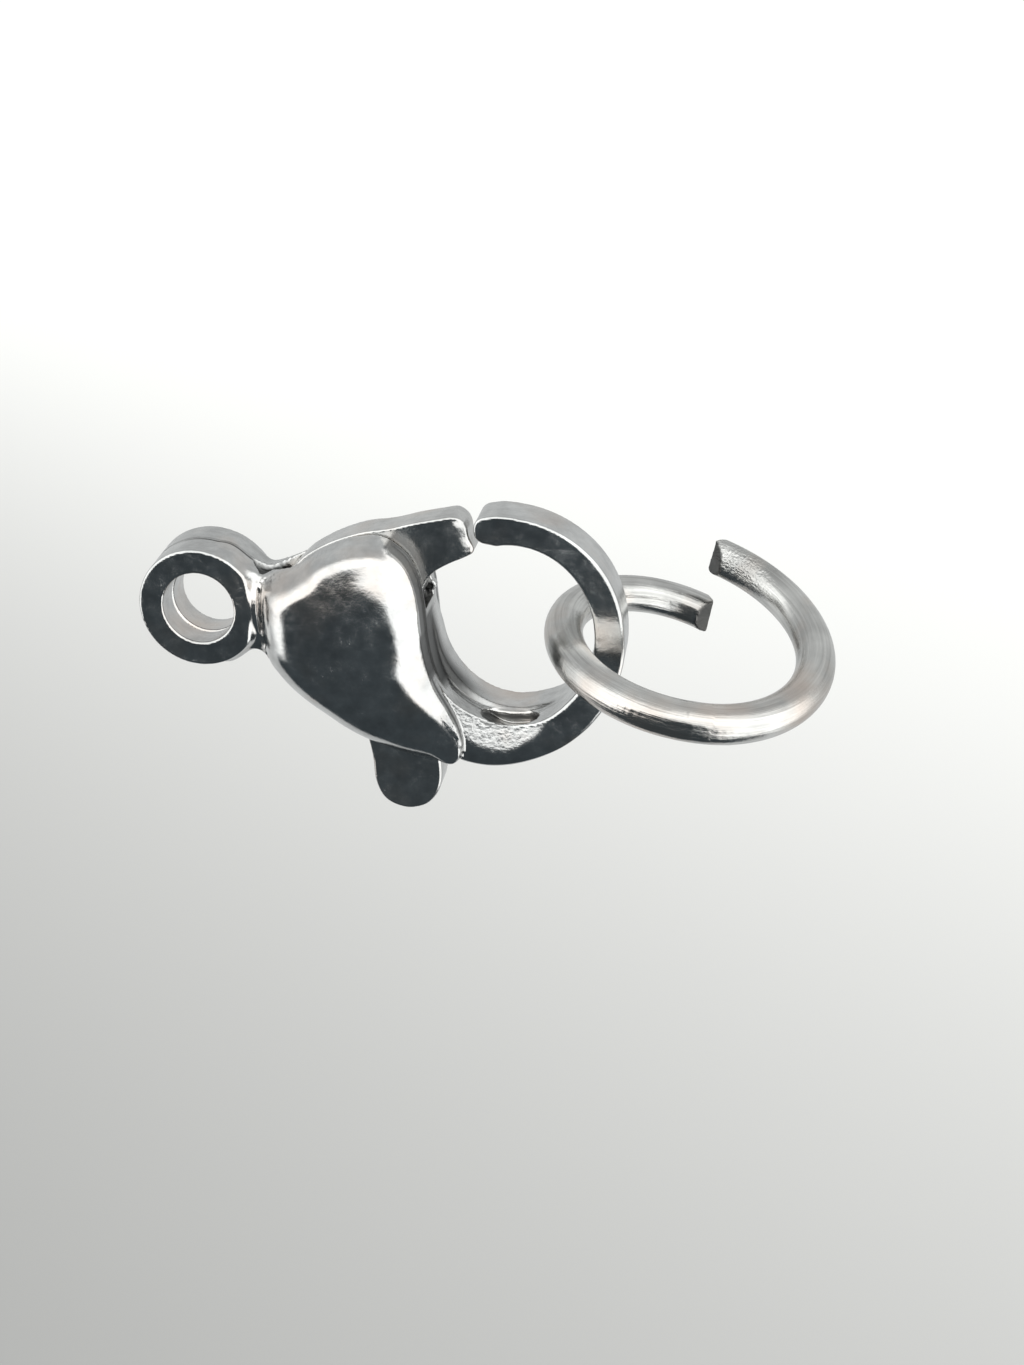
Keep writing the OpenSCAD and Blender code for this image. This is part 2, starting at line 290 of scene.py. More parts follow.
def blurred(field, width):
    """Gaussian blur of a 2D field, with the width in grid steps."""
    k = np.arange(-math.ceil(3 * width), math.ceil(3 * width) + 1)
    weight = np.exp(-0.5 * (k / width) ** 2)
    weight /= weight.sum()
    wide = np.pad(field, len(k) // 2, mode="edge")
    for axis in (0, 1):
        wide = np.apply_along_axis(np.convolve, axis, wide, weight, "valid")
    return wide


def flat(field):
    """A field of the XZ plane, the same at every depth."""
    return field[:, None, :]


class Grid:
    """Places of a grid: x and z in the plane, depth along Y, and height over the middle plane."""

    def __init__(self, axes):
        self.x, self.z = np.meshgrid(axes[0], axes[2], indexing="ij")
        self.depth = axes[1][None, :, None]
        self.height = abs(self.depth)
        self.pitch = axes[0][1] - axes[0][0]

    def from_pivot(self):
        return flat(np.hypot(self.x - PIVOT[0], self.z - PIVOT[1]))


def steps(low, high, pitch):
    return np.arange(low, high + pitch, pitch)


# mesh from a distance field
def cubic(t):
    """Weights of four neighbours for a smooth curve at t, and the weights' slopes."""
    t2, t3 = t ** 2, t ** 3
    weight = [-t + 2 * t2 - t3, 2 - 5 * t2 + 3 * t3, t + 4 * t2 - 3 * t3, t3 - t2]
    slope = [-1 + 4 * t - 3 * t2, 9 * t2 - 10 * t, 1 + 8 * t - 9 * t2, 3 * t2 - 2 * t]
    return 0.5 * np.stack(weight), 0.5 * np.stack(slope)


def sample(field, places):
    """Value and gradient of the field at places given in grid steps."""
    shape = np.array(field.shape)
    base = np.clip(np.floor(places).astype(int), 1, shape - 3)
    t = places - base
    (wx, dx), (wy, dy), (wz, dz) = (cubic(t[:, k]) for k in range(3))
    values = field.ravel()
    value = np.zeros(len(places))
    grad = np.zeros((len(places), 3))
    for i in range(4):
        for j in range(4):
            row = ((base[:, 0] + i - 1) * shape[1] + base[:, 1] + j - 1) * shape[2] + base[:, 2] - 1
            v = [values[row + k] for k in range(4)]
            along = sum(wz[k] * v[k] for k in range(4))
            turn = sum(dz[k] * v[k] for k in range(4))
            value += wx[i] * wy[j] * along
            grad[:, 0] += dx[i] * wy[j] * along
            grad[:, 1] += wx[i] * dy[j] * along
            grad[:, 2] += wx[i] * wy[j] * turn
    return value, grad


def surface_cells(inside):
    """Grid cells that the surface passes through, and their numbers on the grid."""
    ends = (slice(None, -1), slice(1, None))
    total = sum(inside[i, j, k].astype(np.int8) for i in ends for j in ends for k in ends)
    active = (total > 0) & (total < 8)
    cells = np.stack(np.nonzero(active), 1)
    number = np.full(active.shape, -1, np.int64)
    number[active] = np.arange(len(cells))
    return cells, number


def crossings(field, cells):
    """Mean place in each cell where the surface crosses the cell's edges."""
    total, hits = np.zeros((len(cells), 3)), np.zeros(len(cells))
    for axis in range(3):
        for p in (0, 1):
            for q in (0, 1):
                start = np.zeros(3, int)
                start[(axis + 1) % 3], start[(axis + 2) % 3] = p, q
                end = start.copy()
                end[axis] = 1
                low = field[tuple((cells + start).T)]
                high = field[tuple((cells + end).T)]
                crossing = (low < 0) != (high < 0)
                t = np.where(crossing, low / np.where(crossing, low - high, 1), 0)
                total += np.where(crossing[:, None], start + t[:, None] * (end - start), 0)
                hits += crossing
    return cells + total / hits[:, None]


def surface_quads(inside, number):
    """The four cells round each grid edge that the surface crosses, turned outwards."""
    quads = []
    for axis in range(3):
        low = np.take(inside, range(inside.shape[axis] - 1), axis)
        high = np.take(inside, range(1, inside.shape[axis]), axis)
        edge = np.stack(np.nonzero(low != high), 1)
        outwards = low[tuple(edge.T)]
        p, q = (axis + 1) % 3, (axis + 2) % 3
        quad = []
        for step_p, step_q in ((-1, -1), (0, -1), (0, 0), (-1, 0)):
            cell = edge.copy()
            cell[:, p] += step_p
            cell[:, q] += step_q
            quad.append(number[tuple(cell.T)])
        quad = np.stack(quad, 1)
        quad[~outwards] = quad[~outwards][:, ::-1]
        quads.append(quad)
    return np.concatenate(quads)


def on_axes(values, places):
    """Values given along the three axes, at places given in grid steps."""
    return np.stack([np.interp(places[:, k], np.arange(len(values[k])), values[k]) for k in range(3)], 1)


def surface(field, axes, rounds=3, longest_move=0.03, smallest=1e-6):
    """Corners, quads and normals of the field's zero level, with the corners spread evenly on it."""
    inside = field < 0
    cells, number = surface_cells(inside)
    quads = surface_quads(inside, number)
    places = crossings(field, cells)
    spans = [np.gradient(a) for a in axes]
    ends = np.concatenate([quads[:, [k, (k + 1) % 4]] for k in range(4)])
    ends = np.concatenate([ends, ends[:, ::-1]])
    count = np.bincount(ends[:, 0], minlength=len(places))
    for step in range(rounds + 2):
        value, grad = sample(field, places)
        scale = on_axes(spans, places)
        slope = grad / scale
        size = np.maximum((slope ** 2).sum(1), smallest)
        move = -np.clip(value, -longest_move, longest_move)[:, None] * slope / size[:, None]
        places = places + move / scale
        if step < rounds:
            near = [np.bincount(ends[:, 0], places[ends[:, 1], k], len(places)) for k in range(3)]
            shift = (np.stack(near, 1) / count[:, None] - places) * scale
            normal = slope / np.sqrt(size)[:, None]
            shift -= (shift * normal).sum(1)[:, None] * normal
            places = places + 0.5 * shift / scale
    value, grad = sample(field, places)
    slope = grad / on_axes(spans, places)
    normal = slope / np.maximum(np.linalg.norm(slope, axis=1), smallest)[:, None]
    return on_axes(axes, places), quads, normal


def mesh_piece(name, points, quads, normal):
    mesh = bpy.data.meshes.new(name)
    mesh.vertices.add(len(points))
    mesh.vertices.foreach_set("co", (points * MM).astype(np.float32).ravel())
    mesh.loops.add(quads.size)
    mesh.loops.foreach_set("vertex_index", quads.astype(np.int32).ravel())
    mesh.polygons.add(len(quads))
    mesh.polygons.foreach_set("loop_start", np.arange(0, quads.size, 4, dtype=np.int32))
    mesh.polygons.foreach_set("use_smooth", np.ones(len(quads), bool))
    mesh.update(calc_edges=True)
    mesh.validate()
    mesh.normals_split_custom_set_from_vertices(normal)
    piece = bpy.data.objects.new(name, mesh)
    scene.collection.objects.link(piece)
    return piece


def vertex_vectors(piece, key):
    """The places or the normals of a piece's vertices."""
    values = np.empty(len(piece.data.vertices) * 3, np.float32)
    piece.data.vertices.foreach_get(key, values)
    return values.reshape(-1, 3)


def vertices(piece):
    return vertex_vectors(piece, "co") / MM


def set_marks(piece, name, values):
    """Numbers or vectors at a piece's vertices, for its material."""
    kind, key = ("FLOAT", "value") if values.ndim == 1 else ("FLOAT_VECTOR", "vector")
    piece.data.attributes.new(name, kind, "POINT").data.foreach_set(key, values.astype(np.float32).ravel())


def set_drawn(piece):
    """How much of the drawn lines shows: most on faces that look up."""
    set_marks(piece, "drawn", 0.12 + 0.88 * ramp(vertex_vectors(piece, "normal")[:, 2], 0.3, 0.8))


# body
def body_axes():
    """Grid lines for the body, closest at the seam and along the sides of the slot."""
    half = [0.0]
    while half[-1] < BODY_PACES[-1][0]:
        half.append(half[-1] + next(pace for end, pace in BODY_PACES if half[-1] < end))
    wide = np.array([-half[1]] + half + [2 * half[-1] - half[-2]])
    half = np.convolve(wide, [0.25, 0.5, 0.25], "valid")
    return steps(*BODY_X, BODY_PITCH), np.concatenate([-half[:0:-1], half]), steps(*BODY_Z, BODY_PITCH)


def by_angle(table, angle):
    """A table's value at an angle in degrees."""
    return np.interp(angle, *zip(*table))


def mouth_place(x, z):
    """Distance outside the mouth, angle round it in degrees, and width of the tilted face there."""
    mouth = np.hypot((x - MOUTH_X) / MOUTH_RADIUS, (z - MOUTH_Z) / MOUTH_HALF)
    angle = np.degrees(np.arctan2(z - MOUTH_Z, x - MOUTH_X)) % 360
    return (mouth - 1) * 0.5 * (MOUTH_RADIUS + MOUTH_HALF), angle, by_angle(TILTED_FACE, angle)


def neck_wedge(x, y):
    """Recess on top of the neck, where the front layer ends against the shell."""
    left = y + 1.35 * (x - 1.2)
    right = y + 0.5 - 1.4 * (x - 1.57)
    behind = 0.05 + 0.42 * (x - 1.2) - y
    return ramp(np.minimum(np.minimum(left, right), behind), 0, 0.07) * (x > 1.1)


def eye_field(grid):
    """Two flat layers with a groove between them, the back one wider."""
    seam = SEAM_DEPTH * np.exp(-(grid.depth / SEAM_WIDTH) ** 2)
    swell = BACK_SWELL * (1 + np.clip(grid.depth / EYE_HALF, -1, 1))
    towards_neck = ramp(grid.x, 0.75, 1.55) * (1 - ramp(abs(grid.z), 0.4, 1.0))
    edge = flat(np.hypot(grid.x, grid.z)) - EYE_RADIUS - swell + seam
    return both(edge, grid.height - EYE_HALF - 0.3 * swell, flat(WORN_EDGE + EYE_EDGE_AT_NECK * towards_neck))


def neck_field(grid):
    """The neck's plate, a little thicker at the back."""
    edge = flat(outline_distance(smooth_closed(NECK, 10), grid.x, grid.z))
    return both(edge, grid.height - NECK_HALF - NECK_BACK * (grid.depth > 0), ROUND_EDGE)


def shell_outline(count):
    """The shell's outline, its part along the mouth, and the rest, with count steps between points."""
    line = smooth_closed(placed(SHELL), count)
    first, last = (number * count for number in MOUTH_SIDE)
    return line, line[first:last + 1], np.concatenate([line[last:], line[:first - count + 1]])


def dome_top(grid, from_side, from_rest):
    """Half thickness of the domes: flat in the middle, steep along the top and uneven along the mouth."""
    # the rounded band along the edge is narrower where the edge looks up, and narrowest by the hook
    upward = ramp(-np.gradient(from_rest, grid.pitch)[1], 0.55, 0.95)
    band = TOP_BAND - 0.55 * upward + 0.3 * upward * (1 - ramp(grid.x, 2.0, 3.2))
    band = blurred(band - (band - END_BAND) * ramp(grid.x, 5.6, 6.4), 0.12 / grid.pitch)
    rise = np.sqrt(np.clip(1 - np.clip(1 - from_rest / band, 0, 1) ** 2, 0, 1))
    # the slope along the mouth
    level, widths, drops = zip(*MOUTH_SLOPE)
    width = blurred(np.interp(grid.z, level, widths), 0.2 / grid.pitch)
    drop = np.interp(grid.z, level, drops)
    side = 1 - drop * np.clip(1 - from_side / width, 0, 1.3) ** 2
    crown = CROWN * ((grid.x - DOME_MIDDLE[0]) ** 2 + 0.7 * (grid.z - DOME_MIDDLE[1]) ** 2)
    top = SLOT_HALF + (DOME_HALF - SLOT_HALF) * rise * side - crown
    # creases away from the edge are softened
    near_edge = 1 - ramp(from_rest, 0.12, 0.4)
    return top * near_edge + blurred(top, 0.09 / grid.pitch) * (1 - near_edge)


def shell_fields(grid):
    """The domes, the rim of the shells beside the slot, and the hollow behind the domes."""
    line, mouth_side, rest = shell_outline(12)
    edge = outline_distance(line, grid.x, grid.z)
    from_side = path_distance(mouth_side, grid.x, grid.z) - MOUTH_EDGE_OUT
    top = dome_top(grid, from_side, path_distance(rest, grid.x, grid.z))
    slope_x, slope_z = np.gradient(top, grid.pitch)
    slope = flat(np.sqrt(1 + np.minimum(slope_x ** 2 + slope_z ** 2, 6.0)))
    dome = both(flat(both(edge, -from_side, SOFT_EDGE)), (grid.height - flat(top)) / slope, SOFT_EDGE)
    rim = both(flat(edge), grid.height - SLOT_HALF - RIM_HEIGHT, ROUND_EDGE)
    hollow = np.maximum(flat(edge) + SHELL_WALL, (grid.height - flat(top) + SHELL_WALL) / slope)
    boss = grid.from_pivot() - (PIN_RADIUS + PIN_BOSS_WALL)
    return dome, rim, np.maximum(hollow, -boss)


def hook_outline():
    """Outer edge from the tip to the root, the mouth, and the rounded tip."""
    middle, above, below = (HOOK_X, HOOK_Z), HOOK_TOP_Z - HOOK_Z, HOOK_Z - HOOK_BOTTOM_Z
    return np.concatenate([
        oval(middle, (HOOK_OUTER_RADIUS, above), HOOK_TOP_POWER, 88, 0, 90),
        oval(middle, (HOOK_OUTER_RADIUS, below), HOOK_BOTTOM_POWER, 0, -104, 110)[1:],
        placed(HOOK_ROOT),
        oval((MOUTH_X, MOUTH_Z), (MOUTH_RADIUS, MOUTH_HALF), 2, -170, 100, 240),
        oval((TIP_X + HOOK_TIP_LENGTH, TIP_Z), (HOOK_TIP_LENGTH, TIP_HALF), TIP_POWER, 262, 100, 60),
    ])


def hook_field(grid):
    """The hook, thickest at its root, with a tilted face along the mouth that is widest there."""
    from_mouth, angle, tilted = mouth_place(grid.x, grid.z)
    front = 1 - ramp(grid.depth, -0.1, 0.1)
    back = 1 - front
    low = HOOK_Z - 0.15 * BODY_HEIGHT
    towards_tip = np.clip((grid.z - low) / (MOUTH_TOP - low), 0, 1)
    half = flat(HOOK_ROOT_HALF - (HOOK_ROOT_HALF - HOOK_TIP_HALF) * towards_tip)
    for table, side in ((THICKER_FRONT, front), (THICKER_BACK, back)):
        half = half + flat(blurred(by_angle(table, angle), 0.2 / grid.pitch)) * side
    edge = flat(outline_distance(hook_outline(), grid.x, grid.z))
    edge = edge + flat(by_angle(LIP, angle)) * (FRONT_LIP * front - BACK_LIP * back)
    rounding = WORN_EDGE + 0.05 * ramp(grid.x, 8.0, 10.0) + 0.12 * ramp(-grid.z, 3.0, 3.6)
    tilt = FACE_TILT * np.clip(blurred(tilted, 0.12 / grid.pitch) - from_mouth, 0, 0.9)
    hook = both(edge, grid.height - half, flat(rounding))
    return both(hook, grid.height - half + flat(tilt) * front, FINE_EDGE)


def bore_field(grid):
    """The eye's bore, with a groove at the seam."""
    seam = BORE_SEAM_DEPTH * np.exp(-(grid.depth / BORE_SEAM_WIDTH) ** 2)
    return flat(np.hypot(grid.x, grid.z)) - BORE_RADIUS - seam


def slot_field(grid):
    """The lever's slot, which narrows to a point at the neck."""
    half = SLOT_HALF * np.sqrt(np.clip((grid.x - 1.75) / 0.6, 0, 1))
    return both(flat(outline_distance(SLOT, grid.x, grid.z)), grid.height - flat(half), SOFT_EDGE)


def knob_field(grid):
    """A short round peg on the slot's back side."""
    near, far = KNOB_Y
    edge = flat(np.hypot(grid.x - KNOB[0], grid.z - KNOB[1])) - KNOB_RADIUS
    return both(edge, abs(grid.depth - (near + far) / 2) - (far - near) / 2, 0.045)


def pocket_field(grid):
    """A pocket with round ends in the mouth's lower side."""
    from_mouth = mouth_place(grid.x, grid.z)[0]
    past = np.maximum(flat(abs(grid.x - POCKET_X)) - POCKET_STRAIGHT, 0)
    deep = flat(from_mouth - POCKET_FLOOR - POCKET_FALL * ramp(grid.x, 6.8, POCKET_X))
    across = np.hypot(past, grid.depth - POCKET_Y) - POCKET_RADIUS
    return both(across, np.maximum(deep, flat(grid.z - MOUTH_Z)), THIN_EDGE)


def seat_field(grid):
    """The pin's seats, which end inside the domes."""
    seat_half = DOME_HALF - PIN_COVER + PIN_SEAT_GAP
    return np.maximum(grid.from_pivot() - (PIN_RADIUS + PIN_SEAT_GAP), grid.height - seat_half)


def body_field(axes):
    """The whole body: its parts joined, then the hollows cut, with the knob put back into the slot."""
    grid = Grid(axes)
    dome, rim, hollow = shell_fields(grid)
    body = either(eye_field(grid), neck_field(grid), EYE_FILLET)
    body = either(body, dome, DOME_FILLET)
    body = either(body, rim, FINE_EDGE)
    body = either(body, hook_field(grid), FINE_EDGE)
    body = body + WEDGE_DEPTH * neck_wedge(flat(grid.x), grid.depth) * flat(ramp(grid.z, 0.3, 0.6))
    body = cut(body, bore_field(grid), WORN_EDGE)
    body = cut(body, hollow)
    body = cut(body, slot_field(grid), THIN_EDGE)
    body = either(body, knob_field(grid), KNOB_FILLET)
    body = cut(body, pocket_field(grid), FINE_EDGE)
    return cut(body, seat_field(grid))


def body_marks(piece):
    """Where the seam holds dirt, where painted shade darkens the neck's recess, the creases along the dome's
    edge, the slot's wall and the pocket, and where faces are rough as cast.
    """
    x, y, z = vertices(piece).T
    from_mouth, angle, tilted = mouth_place(x, z)
    from_edge = path_distance(shell_outline(4)[1], x, z) - MOUTH_EDGE_OUT
    wall = between(angle, 160, 170, 225, 262) * ramp(-from_mouth, -0.06, -0.03) * (x > 5)

    seam = np.exp(-(y / 0.06) ** 4) * (np.hypot(x, z) > 1.2) * (x < 2.0)
    # painted shade: the recess, the crease and flank along the dome's edge, the slot's dark wall and the
    # pocket are darkened where shade falls; the seam's dark line is dirt in the joint
    recess = neck_wedge(x, y) * (z > 0.4) * (x < 2.6)
    crease = np.exp(-(from_edge / 0.06) ** 2 - ((abs(y) - 1.08) / 0.1) ** 2) * (x > 4.9)
    flank = (1 - ramp(from_edge, 0.08, 0.16)) * between(-y, 0.5, 0.6, 1.05, 1.25)
    flank = flank * ramp(z, -1.8, -0.6) * (x > 4.7)
    dark_wall = wall * (1 - ramp(y - 0.004 * (angle - 180), -0.1, 0.6))
    pocket = between(from_mouth, 0.08, 0.12, 0.2, 0.26) * (abs(x - 7.68) < 0.75)
    pocket = pocket * (abs(y - POCKET_Y) < 0.38) * (z < MOUTH_Z)
    set_marks(piece, "dirt_and_shade", np.maximum.reduce([
        seam, 0.9 * recess, 0.85 * crease, 0.8 * flank, 0.88 * dark_wall, 0.8 * pocket]))

    root_face = ramp(tilted - from_mouth, 0.0, 0.15) * ramp(tilted, 0.25, 0.5)
    root_face = root_face * ramp(-angle, -285, -265) * (y < -0.3)
    wall_top = between(z, -0.02, 0.05, 0.32, 0.36) * (abs(y) < 0.56) * (x > 5.38) * (x < 5.9)
    knob = (np.hypot(x - KNOB[0], z - KNOB[1]) < 0.2) * (abs(y - 0.52) < 0.05)
    set_marks(piece, "cast", np.maximum.reduce([
        root_face, 0.4 * wall * ramp(angle, 205, 235), wall_top, 0.3 * knob]))
    set_drawn(piece)


# lever
def lever_axes():
    return steps(*LEVER_X, LEVER_PITCH), np.linspace(*LEVER_Y, LEVER_LAYERS), steps(*LEVER_Z, LEVER_PITCH)


def lever_field(axes):
    """The lever's plate: slightly domed at the tab, and thinner towards the gate's end."""
    grid = Grid(axes)
    gate_end = placed(GATE_END, start=TIP_X - TIP_GAP)
    line = smooth_closed(
        placed(LEVER_TOP) + gate_end + placed(LEVER_FRONT) + placed(TAB, TAB_REACH) + placed(LEVER_BACK), 10)
    edge = flat(outline_distance(line, grid.x, grid.z))
    crown = 0.012 * np.hypot(grid.x - 5.1, grid.z + 4.4) ** 2 * ramp(-grid.z, 3.0, 3.8)
    rounding = 0.045 + 0.05 * ramp(-grid.z, 3.4, 4.0)
    field = both(edge, grid.height - LEVER_HALF + flat(crown), flat(rounding))
    end = np.array(gate_end)[::-1]
    past_end = grid.x - np.interp(grid.z, end[:, 1], end[:, 0])
    thinned = 0.27 * np.clip(past_end + 0.26, 0, 0.45) * ramp(grid.z, 0, 1)
    field = both(field, grid.height - LEVER_HALF + flat(thinned), WORN_EDGE)
    return cut(field, grid.from_pivot() - PIN_RADIUS - PIN_RUNNING_GAP, FINE_EDGE)


def lever_marks(piece):
    """Painted shade: the plate's front edge is darkened where it stands between the shells."""
    set_drawn(piece)
    x, y, z = vertices(piece).T
    # painted shade on the front edge, between the shells
    dark = ramp(x, 5.0, 5.2) * (1 - ramp(z, 0.95, 1.25)) * (abs(y) < 0.46) * (z > -1)
    set_marks(piece, "dirt_and_shade", 0.85 * dark)


# jump ring
def rotation(x=0.0, y=0.0, z=0.0):
    x, y, z = map(math.radians, (x, y, z))
    return np.array(Matrix.Rotation(z, 3, "Z") @ Matrix.Rotation(y, 3, "Y") @ Matrix.Rotation(x, 3, "X"))


# the wire's radius, 0.01 mm under the source's, and how far the cut faces lean from square
WIRE_RADIUS = 0.47
NIP_ANGLE = math.radians(35)
RING_CENTRE = np.array([12.015, 0, -0.446])
RING_TURN = rotation(14.8, 6.9, 13.0)
# the wire is worn a little flat on this side
RING_FRONT = np.array([0, -0.9986, -0.052])
RING_FLAT = 0.428
# the nipped ends have their edge this far inside the wire's middle
NIP_INWARDS = 0.06
NIPPED_STRETCH = 40
# sweep and opening in degrees, and how far the end bends out of the plane and outwards
Half = namedtuple("Half", "sweep side opening lift spread")
HALVES = (Half(203.1, -1, 3.9, -0.168, -0.014), Half(164.1, 1, 4.27, 0.145, 0.033))


def ring_half(points, half):
    """Places of points in a half's own frame.

    Place along the half in degrees, offset out of its plane, offset outwards, distance past its end,
    and offset to the front.
    """
    lean = rotation(x=half.side * half.opening)
    hinge = np.array([0, -RING_RADIUS, 0])
    turn = RING_TURN @ lean
    q = (points - RING_CENTRE - RING_TURN @ (hinge - lean @ hinge)) @ turn
    place = np.mod(half.side * (np.degrees(np.arctan2(q[:, 1], q[:, 0])) + 90), 360)
    bent = np.where(place < 300, np.radians(np.clip(place - 90, 0, 130)) ** 2, 0)
    out = np.hypot(q[:, 0], q[:, 1]) - RING_RADIUS - half.spread * bent
    up = q[:, 2] - half.lift * bent
    end = math.radians(-90 + half.side * half.sweep)
    along = np.array([-math.sin(end), math.cos(end), 0]) * half.side
    radius = RING_RADIUS + half.spread * math.radians(half.sweep - 90) ** 2
    past = (q - radius * np.array([math.cos(end), math.sin(end), 0])) @ along
    facing = RING_FRONT @ turn
    front = out * (q[:, :2] @ facing[:2]) / np.hypot(q[:, 0], q[:, 1]) + up * facing[2]
    return place, up, out, past, front


def nip(past, out):
    """Distance past the two cut faces at an end."""
    return past * math.cos(NIP_ANGLE) + abs(out + NIP_INWARDS) * math.sin(NIP_ANGLE)


def ring_axes():
    low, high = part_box("jump_ring")
    return tuple(steps(a / MM - RING_MARGIN, b / MM + RING_MARGIN, RING_PITCH) for a, b in zip(low, high))


def ring_field(axes):
    gx, gy, gz = np.meshgrid(*axes, indexing="ij")
    points = np.stack([gx, gy, gz], -1).reshape(-1, 3)
    far = 9.0
    field = np.full(len(points), far)
    for half in HALVES:
        place, up, out, past, front = ring_half(points, half)
        wire = both(np.hypot(out, up) - WIRE_RADIUS, front - RING_FLAT, THIN_EDGE)
        wire = np.where(abs(place - half.sweep) < NIPPED_STRETCH, both(wire, nip(past, out), FINE_EDGE), wire)
        beyond = (place > half.sweep + NIPPED_STRETCH - 1) & (place < 350)
        field = np.minimum(field, np.where(beyond, far, wire))
    return field.reshape(gx.shape)


def ring_marks(piece):
    """Coordinates along and around the wire, where pliers have marked it, and its cut faces darkened, most on
    the inner face as painted shade.
    """
    points = vertices(piece)
    rows = [ring_half(points, half) for half in HALVES]
    away = [
        np.hypot(up, out) + 9 * (place > half.sweep + 20)
        for half, (place, up, out, *rest) in zip(HALVES, rows)]
    first = away[0] < away[1]
    place, up, out, past, front = (np.where(first, a, b) for a, b in zip(*rows))
    round_wire = np.arctan2(up, out)
    along = np.radians(place) * RING_RADIUS * np.where(first, HALVES[0].side, HALVES[1].side)
    wire = np.stack([along, WIRE_RADIUS * np.cos(round_wire), WIRE_RADIUS * np.sin(round_wire)], 1)
    set_marks(piece, "wire", wire)
    set_marks(piece, "marked", ramp(place, 120, 150) * ramp(up, -0.1, 0.2) * ~first)
    # the cut faces are darkened as cut metal, and more on the inner face, which is painted shade
    cut_face = ramp(nip(past, out), -0.05, -0.02) * (place > 90)
    set_marks(piece, "cut_faces_shaded", cut_face * np.where(out < -NIP_INWARDS, 0.85, 0.5))


# materials
class Tree:
    """Short calls for building the nodes of one material or world."""

    def __init__(self, owner, coordinates="Object"):
        owner.use_nodes = True
        self.owner = owner
        self.nodes = owner.node_tree.nodes
        self.links = owner.node_tree.links
        self.space = self.nodes.new("ShaderNodeTexCoord").outputs[coordinates]

    def put(self, socket, value):
        if isinstance(value, bpy.types.NodeSocket):
            self.links.new(value, socket)
        else:
            socket.default_value = value

    def shade(self, **inputs):
        for key, value in inputs.items():
            self.put(self.nodes["Principled BSDF"].inputs[key.replace("_", " ")], value)

    def node(self, kind, **inputs):
        made = self.nodes.new("ShaderNode" + kind)
        for key, value in inputs.items():
            self.put(made.inputs[key.replace("_", " ")], value)
        return made

    def attribute(self, name, output="Fac"):
        made = self.nodes.new("ShaderNodeAttribute")
        made.attribute_name = name
        return made.outputs[output]

    def noise(self, scale, detail=3.0, rough=0.55, vector=None):
        made = self.node("TexNoise", Vector=vector or self.space, Scale=scale, Detail=detail, Roughness=rough)
        return made.outputs["Fac"]

    def stretched_noise(self, space, scale, detail, rough):
        vector = self.node("Mapping", Vector=space, Scale=scale).outputs["Vector"]
        return self.noise(1, detail, rough, vector)

    def ramp(self, value, low, high, to_low=0.0, to_high=1.0, smooth=False):
        made = self.node("MapRange", Value=value, From_Min=low, From_Max=high, To_Min=to_low, To_Max=to_high)
        if smooth:
            made.interpolation_type = "SMOOTHSTEP"
        return made.outputs["Result"]

    def math(self, operation, *values):
        made = self.nodes.new("ShaderNodeMath")
        made.operation = operation
        for socket, value in zip(made.inputs, values):
            self.put(socket, value)
        return made.outputs[0]

    def vector_math(self, operation, *values):
        made = self.nodes.new("ShaderNodeVectorMath")
        made.operation = operation
        for socket, value in zip(made.inputs, values):
            self.put(socket, value)
        return made

    def mix(self, factor, a, b):
        made = self.nodes.new("ShaderNodeMix")
        made.data_type = "RGBA"
        for number, value in ((0, factor), (6, a), (7, b)):
            self.put(made.inputs[number], value)
        return made.outputs[2]

    def bump(self, height, distance, strength=1.0, normal=None):
        made = self.node("Bump", Height=height, Distance=distance, Strength=strength)
        if normal is not None:
            self.put(made.inputs["Normal"], normal)
        return made.outputs["Normal"]


# noise scales in steps a metre, and bump depths in metres
STAINS = 420
CLOUDS = 900
WEAR = 1300
PATCHES = 2600
SPECKS = 7000
GRAIN = 15000
CLOUD_DEPTH = 0.00004
PATCH_DEPTH = 0.000008
GRAIN_DEPTH = 0.000005
BROWN = (0.66, 0.56, 0.49, 1)
# dark colour for dirt and for painted shade
DIRT_AND_SHADE_COLOUR = (0.04, 0.042, 0.042, 1)

# drawn lines and dents: scales and depths on flat faces, and on the wire in its own millimetres
Finish = namedtuple("Finish", "lines line_depth dents dent_depth")
FACE = Finish((900, 19000, 19000), 0.00001, (9000, 9000, 9000), 0.00004)
WIRE = Finish((0.5, 14, 14), 0.000016, (12, 16, 16), 0.00007)


